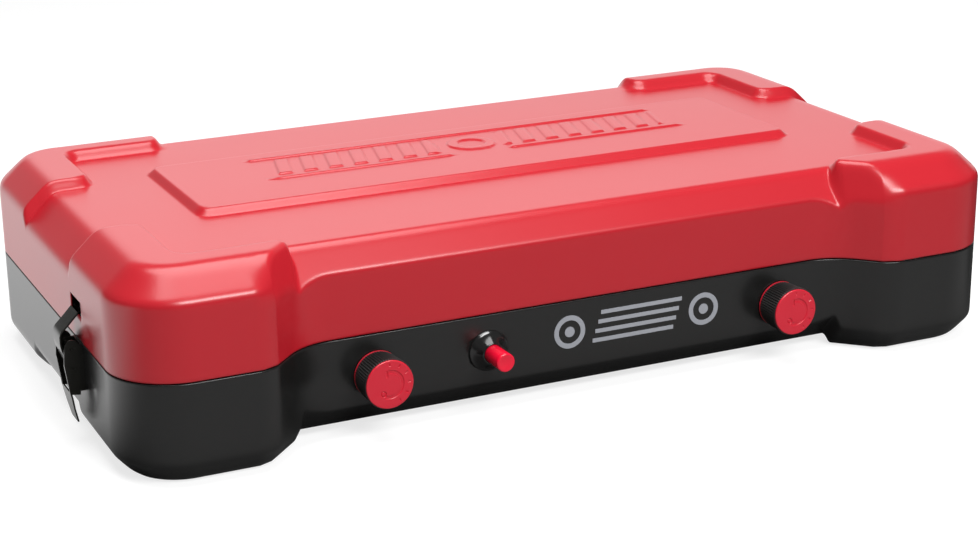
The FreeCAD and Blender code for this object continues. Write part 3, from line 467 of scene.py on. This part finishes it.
def lid_window(corners):
    """Latch slots in the side walls."""
    x, y, z = corners.T
    return near(np.abs(x), HALF_W, 0.2) and near(y, SLOT_Y, SLOT_HALF_Y) and near(z, SLOT_Z, SLOT_HALF_Z)


def base_window(corners):
    """Holes behind the knobs and the igniter, and round the gas inlet."""
    x, y, z = corners[:, 0], corners[:, 1], -corners[:, 2]
    if near(y, RECESS_Y, 0.0):
        holes = [(knob_x, KNOB_Z, KNOB_HOLE) for knob_x in KNOBS_X] + [(IGNITER_X, IGNITER_Z, IGNITER_HOLE)]
        return any(near(x, cx, half) and near(z, cz, half) for cx, cz, half in holes)
    return near(x, HALF_W, 0.2) and near(y, INLET_Y, INLET_HOLE) and near(z, KNOB_Z, INLET_HOLE)


# Meshes

def add_mesh(name, v, faces, sharp=None):
    """Smooth-shaded object; edges over the sharp angle, in degrees, stay hard."""
    me = bpy.data.meshes.new(name)
    me.from_pydata([tuple(p) for p in v], [], [tuple(int(i) for i in f) for f in faces])
    me.validate()
    me.update()
    ob = bpy.data.objects.new(name, me)
    bpy.context.scene.collection.objects.link(ob)
    me.polygons.foreach_set("use_smooth", [True] * len(me.polygons))
    if sharp:
        me.set_sharp_from_angle(angle=math.radians(sharp))
    return ob


def to_frame(v):
    """Case millimetres to the frame's metres."""
    return (np.array(v, float) + (0, -SHIFT, LIFT)) / 1000.0


def build_lid():
    v, faces = thick_shell(pressed_sheet(lid_height, LID, slant, *lid_lines()), LID.rim, lid_window)
    return add_mesh("Lid_shell", to_frame(v), faces)


def build_base():
    upright = pressed_sheet(base_height, BASE, lambda x, y: 0 * x, *base_lines())
    v, faces = thick_shell(upright, BASE.rim, base_window)
    return add_mesh("Base_shell", to_frame(v * (1, 1, -1)), [tuple(reversed(f)) for f in faces])


def around(count):
    return np.linspace(0, 2 * math.pi, count, endpoint=False)


def turned(profile, x, z, count):
    """Closed solid about a front-to-back axis; a step of the profile is a radius and a Y, or arrays."""
    angle = around(count)
    v, rows, faces = [], [], []
    for r, y in profile:
        at_axis = np.ndim(r) == 0 and r == 0
        rows.append([len(v) + (0 if at_axis else k) for k in range(count)])
        r, y = np.broadcast_to(r, count), np.broadcast_to(y, count)
        v += [(x + r[k] * math.cos(angle[k]), y[k], z + r[k] * math.sin(angle[k]))
              for k in range(1 if at_axis else count)]
    for a, b in zip(rows, rows[1:] + rows[:1]):
        for k in range(count):
            d = (k + 1) % count
            loop = tuple(dict.fromkeys((a[k], b[k], b[d], a[d])))
            if len(loop) > 2:
                faces.append(loop)
    return to_frame(v), faces


def front_round(r, front, size):
    """Rounded front rim of a turned piece, from its side in to its face."""
    return [(r - size + size * math.cos(a), front + size - size * math.sin(a))
            for a in np.radians(range(15, 91, 15))]


def knob_mark(px, pz):
    """1 on the sunk marks of a knob face: an open arc with a tail, a small ring and edge ticks."""
    gap = (px < 0) & ((pz > 0) & (px < -0.11 * pz) | (pz <= 0) & (px < 0.38 * pz))
    arc = np.where(gap, -1.0, 1.0 - np.abs(np.hypot(px, pz) - 7.9))
    tail = 0.6 - np.maximum(np.abs(px + 1.8), np.abs(pz - 6.6) - 1.4)
    small = 0.4 - np.abs(np.hypot(px + 4.4, pz + 5.4) - 1.5)
    marks = np.maximum(np.maximum(arc, tail), small)
    for a in np.radians(range(-60, 91, 30)):
        along, across = px * math.cos(a) + pz * math.sin(a), pz * math.cos(a) - px * math.sin(a)
        marks = np.maximum(marks, 0.3 - np.maximum(np.abs(across), np.abs(along - 12.3) - 0.6))
    return ramp((marks + 0.12) / 0.24)


def knob_core(x):
    """Core with a thin flange at the back, a bore for the stem, and the marked face in front."""
    back, front, count = RECESS_Y - 0.8, RECESS_Y - 20.8, 240
    bore_r, bore_depth, flange_r, neck_r, face_r, mark_depth = 3.0, 15.5, 14.9, 13.4, 15.1, 0.55
    profile = [(bore_r, back), (flange_r - 0.2, back), (flange_r, back - 0.2), (flange_r, back - 0.5),
               (neck_r, back - 0.8), (face_r - 0.1, front + 1.2), (face_r, front + 0.8)]
    profile += front_round(face_r, front, 0.6)
    angle = around(count)
    for r in np.arange(14.0, 0.2, -0.22):
        profile.append((r, front + mark_depth * knob_mark(r * np.cos(angle), r * np.sin(angle))))
    profile += [(0, front), (0, back - bore_depth), (bore_r, back - bore_depth)]
    return turned(profile, x, KNOB_Z, count)


def knob_grip(x):
    """Sleeve with rounded grooves, a little wider at the front."""
    back, front, count, grooves = RECESS_Y - 1.4, RECESS_Y - 19.8, 480, 60
    groove = 0.5 - 0.5 * np.cos(grooves * around(count))
    profile = [(14.3, back), (14.8 - 0.4 * groove, back - 0.5)]
    for t in np.linspace(0.08, 0.93, 6):
        profile.append((14.9 + 1.0 * t - 0.75 * groove, back + (front - back) * t))
    profile += [(15.75 - 0.3 * groove, front + 0.5), (15.5, front), (15.12, front)]
    profile += [(15.05, front + 0.4), (13.5, back)]
    return turned(profile, x, KNOB_Z, count)


def igniter_bezel():
    """Slightly hollow cone with a flat flange against the wall."""
    wall, tip, bore = RECESS_Y, RECESS_Y - 7.4, RECESS_Y - 2.6
    profile = [(8.0, wall), (13.0, wall), (13.0, wall - 0.6), (12.8, wall - 0.9), (12.3, wall - 1.2)]
    profile += [(12.3 - 5.3 * t, wall - 1.2 - 5.9 * t ** 1.3) for t in np.linspace(0.05, 1, 12)]
    profile += [(6.8, tip + 0.08), (6.6, tip), (6.3, tip), (6.2, tip + 0.1), (6.2, bore), (8.0, bore)]
    return turned(profile, IGNITER_X, IGNITER_Z, 128)


def igniter_button():
    back, front, r = RECESS_Y + 12, RECESS_Y - 24.5, 5.9
    profile = [(0, back), (4.4, back), (r, back - 2), (r, front + 4.0), (r, front + 0.9)]
    profile += front_round(r, front, 0.9)
    profile += [(4.2, front), (3.9, front + 0.12), (0, front + 0.12)]
    return turned(profile, IGNITER_X, IGNITER_Z, 96)


# Materials

class Nodes:
    """Short hand for wiring a node tree."""

    def __init__(self, tree):
        self.tree = tree

    def new(self, kind, **values):
        node = self.tree.nodes.new(kind)
        for key, value in values.items():
            setattr(node, key, value)
        return node

    def link(self, a, b):
        self.tree.links.new(a, b)

    def feed(self, socket, value):
        """Sets a socket to a number, or links it to another socket."""
        if isinstance(value, float):
            socket.default_value = value
        else:
            self.link(value, socket)

    def maths(self, kind, *inputs):
        node = self.new("ShaderNodeMath", operation=kind)
        for socket, value in zip(node.inputs, inputs):
            self.feed(socket, value)
        return node.outputs[0]

    def smooth(self, value, lo, hi, a, b):
        """a below lo and b above hi, with a smooth step between."""
        node = self.new("ShaderNodeMapRange", interpolation_type="SMOOTHSTEP")
        for key, val in zip(("From Min", "From Max", "To Min", "To Max"), (lo, hi, a, b)):
            node.inputs[key].default_value = val
        self.link(value, node.inputs["Value"])
        return node.outputs["Result"]

    def split(self, kind):
        """X, Y and Z of a texture coordinate."""
        place = self.new("ShaderNodeTexCoord")
        node = self.new("ShaderNodeSeparateXYZ")
        self.link(place.outputs[kind], node.inputs[0])
        return node.outputs

    def noise(self, place, scale, detail):
        node = self.new("ShaderNodeTexNoise")
        node.inputs["Scale"].default_value = scale
        node.inputs["Detail"].default_value = detail
        self.link(place, node.inputs["Vector"])
        return node.outputs["Fac"]

    def to_the_eye(self, direct, other):
        """direct for what the camera sees, other for light and reflections."""
        path = self.new("ShaderNodeLightPath")
        pick = self.new("ShaderNodeMix")
        self.link(path.outputs["Is Camera Ray"], pick.inputs["Factor"])
        self.feed(pick.inputs["A"], other)
        self.feed(pick.inputs["B"], direct)
        return pick.outputs["Result"]


def material(name, colour, rough, metal=0.0, coat=0.0, grain=900.0, bump=0.02, mottle=0.06, vary=0.03,
             spec=0.5, brushed=(1, 1, 1)):
    """Procedural finish: wide noise drives colour and roughness, and fine noise a slight bump."""
    m = bpy.data.materials.new(name)
    m.use_nodes = True
    n = Nodes(m.node_tree)
    surface = m.node_tree.nodes["Principled BSDF"]
    mapping = n.new("ShaderNodeMapping")
    mapping.inputs["Scale"].default_value = brushed
    n.link(n.new("ShaderNodeTexCoord").outputs["Object"], mapping.inputs["Vector"])
    fine = n.noise(mapping.outputs["Vector"], grain, 3.0)
    wide = n.noise(mapping.outputs["Vector"], 14.0, 4.0)
    tint = n.new("ShaderNodeMix", data_type="RGBA")
    for key, change in (("A", 1 - mottle), ("B", 1 + mottle)):
        tint.inputs[key].default_value = (*np.minimum(np.array(colour) * change, 1), 1)
    n.link(wide, tint.inputs["Factor"])
    n.link(tint.outputs["Result"], surface.inputs["Base Color"])
    polish = n.new("ShaderNodeMapRange")
    polish.inputs["To Min"].default_value = rough - vary
    polish.inputs["To Max"].default_value = rough + vary
    n.link(wide, polish.inputs["Value"])
    n.link(polish.outputs["Result"], surface.inputs["Roughness"])
    pits = n.new("ShaderNodeBump")
    pits.inputs["Strength"].default_value = bump
    pits.inputs["Distance"].default_value = 0.0004
    n.link(fine, pits.inputs["Height"])
    n.link(pits.outputs["Normal"], surface.inputs["Normal"])
    for key, value in (("Metallic", metal), ("Coat Weight", coat), ("Coat Roughness", 0.15),
                       ("Specular IOR Level", spec)):
        surface.inputs[key].default_value = value
    return m


FINISHES = {
    "red_powder_coat": dict(colour=(0.42, 0.010, 0.018), rough=0.28, bump=0.04, grain=700, mottle=0.01,
                            vary=0.01),
    "black_powder_coat": dict(colour=(0.0075, 0.0075, 0.0072), rough=0.26, bump=0.04, grain=700, vary=0.01),
    "black_steel": dict(colour=(0.012, 0.012, 0.010), rough=0.24, bump=0.05, spec=0.3),
    "zinc_steel": dict(colour=(0.62, 0.62, 0.61), rough=0.30, metal=1.0, bump=0.08, brushed=(1, 1, 12)),
    "print_grey": dict(colour=(0.30, 0.31, 0.34), rough=0.45, bump=0.02),
    "black_gloss_plastic": dict(colour=(0.006, 0.006, 0.006), rough=0.15, coat=0.3, bump=0.01),
    "black_plastic": dict(colour=(0.016, 0.016, 0.016), rough=0.42, bump=0.05),
    "red_plastic": dict(colour=(0.56, 0.010, 0.028), rough=0.32, coat=0.1, bump=0.03, mottle=0.02),
    "red_gloss_plastic": dict(colour=(0.72, 0.004, 0.03), rough=0.22, coat=0.1, bump=0.02, mottle=0.02),
    "brass": dict(colour=(0.75, 0.52, 0.22), rough=0.24, metal=1.0, bump=0.05),
    "cast_aluminium": dict(colour=(0.58, 0.58, 0.59), rough=0.46, metal=1.0, grain=500, bump=0.5),
    "aluminium_tube": dict(colour=(0.72, 0.72, 0.73), rough=0.32, metal=1.0, bump=0.1),
    "tray_coat": dict(colour=(0.02, 0.02, 0.02), rough=0.28, coat=0.3, bump=0.1),
    "enamel_black": dict(colour=(0.018, 0.018, 0.018), rough=0.22, coat=0.6, bump=0.15, grain=300),
    "grate_chrome": dict(colour=(0.78, 0.78, 0.78), rough=0.14, metal=1.0, bump=0.02),
    "ceramic_white": dict(colour=(0.80, 0.77, 0.70), rough=0.25, coat=0.4, bump=0.05),
    "lead_rubber": dict(colour=(0.02, 0.02, 0.02), rough=0.55, bump=0.1),
    "screen_coat": dict(colour=(0.016, 0.016, 0.016), rough=0.34, coat=0.15, bump=0.1),
}
MATS = {name: material(name, **values) for name, values in FINISHES.items()}


# Pieces that stand for a CAD node, and the finish of the others

EDGE_ROUND, ROUND_ANGLE = 0.0002, 42    # rounds on the CAD nodes, in metres, on edges over this angle
CAD_SHARP, TURNED_SHARP = 32, 38        # edges over these angles stay sharp in the shading


def stand_in(ob, body, slot, finish=None):
    """Puts a piece on its body, in place of the CAD node that has its name in lower case."""
    ob.data.materials.append(MATS[finish or slot])
    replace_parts(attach(ob, body), ob.name.lower())


def turned_stand_in(name, shape, body, slot, finish=None):
    stand_in(add_mesh(name, *shape, sharp=TURNED_SHARP), body, slot, finish)


def shade_group():
    """Geometry nodes that smooth the faces and keep the sharper edges."""
    tree = bpy.data.node_groups.new("Smooth_shallow_edges", "GeometryNodeTree")
    for way in ("INPUT", "OUTPUT"):
        tree.interface.new_socket("Geometry", in_out=way, socket_type="NodeSocketGeometry")
    n = Nodes(tree)
    faces = n.new("GeometryNodeSetShadeSmooth", domain="FACE")
    edges = n.new("GeometryNodeSetShadeSmooth", domain="EDGE")
    edges.inputs["Shade Smooth"].default_value = False
    fold = n.new("GeometryNodeInputMeshEdgeAngle").outputs["Unsigned Angle"]
    n.link(n.new("NodeGroupInput").outputs[0], faces.inputs["Geometry"])
    n.link(faces.outputs[0], edges.inputs["Geometry"])
    n.link(n.maths("GREATER_THAN", fold, math.radians(CAD_SHARP)), edges.inputs["Selection"])
    n.link(edges.outputs[0], n.new("NodeGroupOutput").inputs[0])
    return tree


def soften(ob):
    """Small rounds on the hard edges and smooth shading over the turned faces."""
    weld = ob.modifiers.new("Weld", "WELD")
    weld.merge_threshold = 2e-6
    bevel = ob.modifiers.new("Rounds", "BEVEL")
    bevel.width, bevel.segments = EDGE_ROUND, 2
    bevel.limit_method, bevel.angle_limit = "ANGLE", math.radians(ROUND_ANGLE)
    shade = ob.modifiers.new("Shade", "NODES")
    shade.node_group = SHADING
    normals = ob.modifiers.new("Flat_faces", "WEIGHTED_NORMAL")
    normals.keep_sharp = True


SHADING = shade_group()
slot_of = {s["node"]: s["material_slot"] for s in frame["record"]["subparts"]}
for name, ob in frame["nodes"].items():
    ob.data.materials.clear()
    ob.data.materials.append(MATS[slot_of[name]])
    soften(ob)

stand_in(build_lid(), "lid", "red_powder_coat")
stand_in(build_base(), "case", "black_powder_coat")
turned_stand_in("Igniter_bezel", igniter_bezel(), "case", "black_gloss_plastic")
turned_stand_in("Igniter_button", igniter_button(), "igniter", "red_plastic", "red_gloss_plastic")
for side, x in zip(("left", "right"), KNOBS_X):
    turned_stand_in("Knob_core_" + side, knob_core(x), "knob_" + side, "red_plastic")
    turned_stand_in("Knob_grip_" + side, knob_grip(x), "knob_" + side, "black_plastic")


# Stage, light and camera, in metres

BACK_GLOW, FLOOR_GLOW, AMBIENT = 1.6, 1.05, 0.2
FLOOR_Z = -0.0003               # just under the feet
FLOOR_SEEN, SEEN_GLOW = 0.30, 0.76      # grey and glow of the floor as the camera sees it
FLOOR_GREY, PAINTED_SHADE_GREY = 0.27, 0.05     # grey in reflections: in the open, and with painted shade under and beside the case


def area(name, loc, target, size, size_y, power):
    """Soft rectangular light at a place, aimed at a target."""
    light = bpy.data.lights.new(name, "AREA")
    light.energy = power
    light.shape = "RECTANGLE"
    light.size, light.size_y = size, size_y
    ob = bpy.data.objects.new(name, light)
    bpy.context.scene.collection.objects.link(ob)
    ob.location = loc
    ob.rotation_mode = "QUATERNION"
    ob.rotation_quaternion = (Vector(target) - Vector(loc)).to_track_quat("-Z", "Y")


def floor_grey(n, xyz):
    """Diffuse grey, with painted shade: the reflected floor is darkened under the case and close beside it,
    in place of the case's contact shadow.
    """
    # painted shade: the floor's grey in reflections drops towards the case's front and left side, standing in
    # for its contact shadow
    behind_front = n.smooth(xyz["Y"], -0.21, -0.12, 0.0, FLOOR_GREY - PAINTED_SHADE_GREY)
    beside = n.smooth(xyz["X"], -0.42, -0.3, 0.0, 1.0)
    painted_shade = n.maths("MULTIPLY", behind_front, beside)
    return n.to_the_eye(FLOOR_SEEN, n.maths("SUBTRACT", FLOOR_GREY, painted_shade))


def floor_glow(n, xyz):
    """Emission: even to the eye; in reflections only behind the case, and faded up the left far wall."""
    toward_back = n.maths("SUBTRACT", xyz["Y"], n.maths("MULTIPLY", xyz["X"], 0.5))
    up_left = n.maths("SUBTRACT", xyz["Z"], n.maths("MULTIPLY", xyz["X"], 0.8))
    behind = n.maths("MULTIPLY", n.smooth(toward_back, 0.0, 0.22, 0.0, FLOOR_GLOW),
                     n.smooth(up_left, 1.4, 2.3, 1.0, 0.0))
    return n.to_the_eye(SEEN_GLOW, behind)


def floor_paper():
    """Pale paper: near white to the eye, dim in front with painted shade near the case, and bright behind in
    reflections.
    """
    m = bpy.data.materials.new("studio_paper")
    m.use_nodes = True
    m.node_tree.nodes.clear()
    n = Nodes(m.node_tree)
    diffuse = n.new("ShaderNodeBsdfDiffuse")
    glow = n.new("ShaderNodeEmission")
    both = n.new("ShaderNodeAddShader")
    n.link(diffuse.outputs[0], both.inputs[0])
    n.link(glow.outputs[0], both.inputs[1])
    n.link(both.outputs[0], n.new("ShaderNodeOutputMaterial").inputs["Surface"])
    xyz = n.split("Object")
    shade = n.new("ShaderNodeCombineColor")
    grey = floor_grey(n, xyz)
    for socket in shade.inputs[:3]:
        n.link(grey, socket)
    n.link(shade.outputs[0], diffuse.inputs["Color"])
    n.link(floor_glow(n, xyz), glow.inputs["Strength"])
    return m


def backdrop():
    """Level floor that curves up into a far wall all round."""
    edge, bend, count = 3.5, 1.5, 72
    rows = [(0.5, 0.0), (1.2, 0.0), (edge, 0.0)]
    rows += [(edge + bend * math.sin(a), bend - bend * math.cos(a)) for a in np.radians(range(10, 91, 10))]
    v = [(r * math.cos(a), r * math.sin(a), z + FLOOR_Z) for r, z in rows for a in around(count)]
    v.append((0, 0, FLOOR_Z))
    faces = [(len(v) - 1, k, (k + 1) % count) for k in range(count)]
    for row in range(0, (len(rows) - 1) * count, count):
        for k in range(count):
            d = (k + 1) % count
            faces.append((row + k, row + count + k, row + count + d, row + d))
    ob = add_mesh("Studio_floor", v, faces)
    ob.data.materials.append(floor_paper())
    ob.visible_shadow = False


def studio_world():
    """Dim surround with a bright low panel at the back; plain white to the eye."""
    world = bpy.data.worlds.new("studio")
    bpy.context.scene.world = world
    world.use_nodes = True
    n = Nodes(world.node_tree)
    xyz = n.split("Generated")
    behind = n.smooth(xyz["Y"], 0.25, 0.7, 0.0, 1.0)
    low = n.smooth(xyz["Z"], 0.34, 0.56, 1.0, 0.0)
    left_end = n.smooth(xyz["X"], -0.12, 0.16, 0.0, 1.0)
    fade = n.smooth(xyz["X"], 0.2, 0.8, 1.0, 0.5)
    panel = n.maths("MULTIPLY", n.maths("MULTIPLY", behind, low), n.maths("MULTIPLY", left_end, fade))
    level = n.maths("ADD", n.maths("MULTIPLY", panel, BACK_GLOW), AMBIENT)
    background = world.node_tree.nodes["Background"]
    background.inputs["Color"].default_value = (1, 1, 1, 1)
    n.link(n.to_the_eye(1.0, level), background.inputs["Strength"])


def front_camera():
    """Camera in front of the case and to its left, looking down on it."""
    yaw, pitch, roll = (math.radians(a) for a in (24.06, 18.08, -1.05))
    ahead = Vector((math.sin(yaw) * math.cos(pitch), math.cos(yaw) * math.cos(pitch), -math.sin(pitch)))
    level = Vector((math.cos(yaw), -math.sin(yaw), 0))
    upright = level.cross(ahead)
    right = level * math.cos(roll) + upright * math.sin(roll)
    up = upright * math.cos(roll) - level * math.sin(roll)
    cam = bpy.data.cameras.new("Camera")
    cam.lens, cam.sensor_width = 75.74, 36.0
    cam.shift_x, cam.shift_y = 0.0415, -0.0063
    cam.clip_start, cam.clip_end = 0.05, 50
    ob = bpy.data.objects.new("Camera", cam)
    bpy.context.scene.collection.objects.link(ob)
    place = Matrix((right, up, -ahead)).transposed().to_4x4()
    place.translation = to_frame((-565.4, -1202.1, 474.5))
    ob.matrix_world = place
    bpy.context.scene.camera = ob


studio_world()
backdrop()
area("Overhead_soft", (-0.12, -0.03, 1.5), (-0.12, -0.03, 0.1), 1.25, 1.1, power=27)
area("Front_key", (0.15, -1.65, 1.4), (0, 0, 0.06), 1.1, 0.55, power=40)
front_camera()
bpy.context.scene.view_settings.view_transform = "Standard"
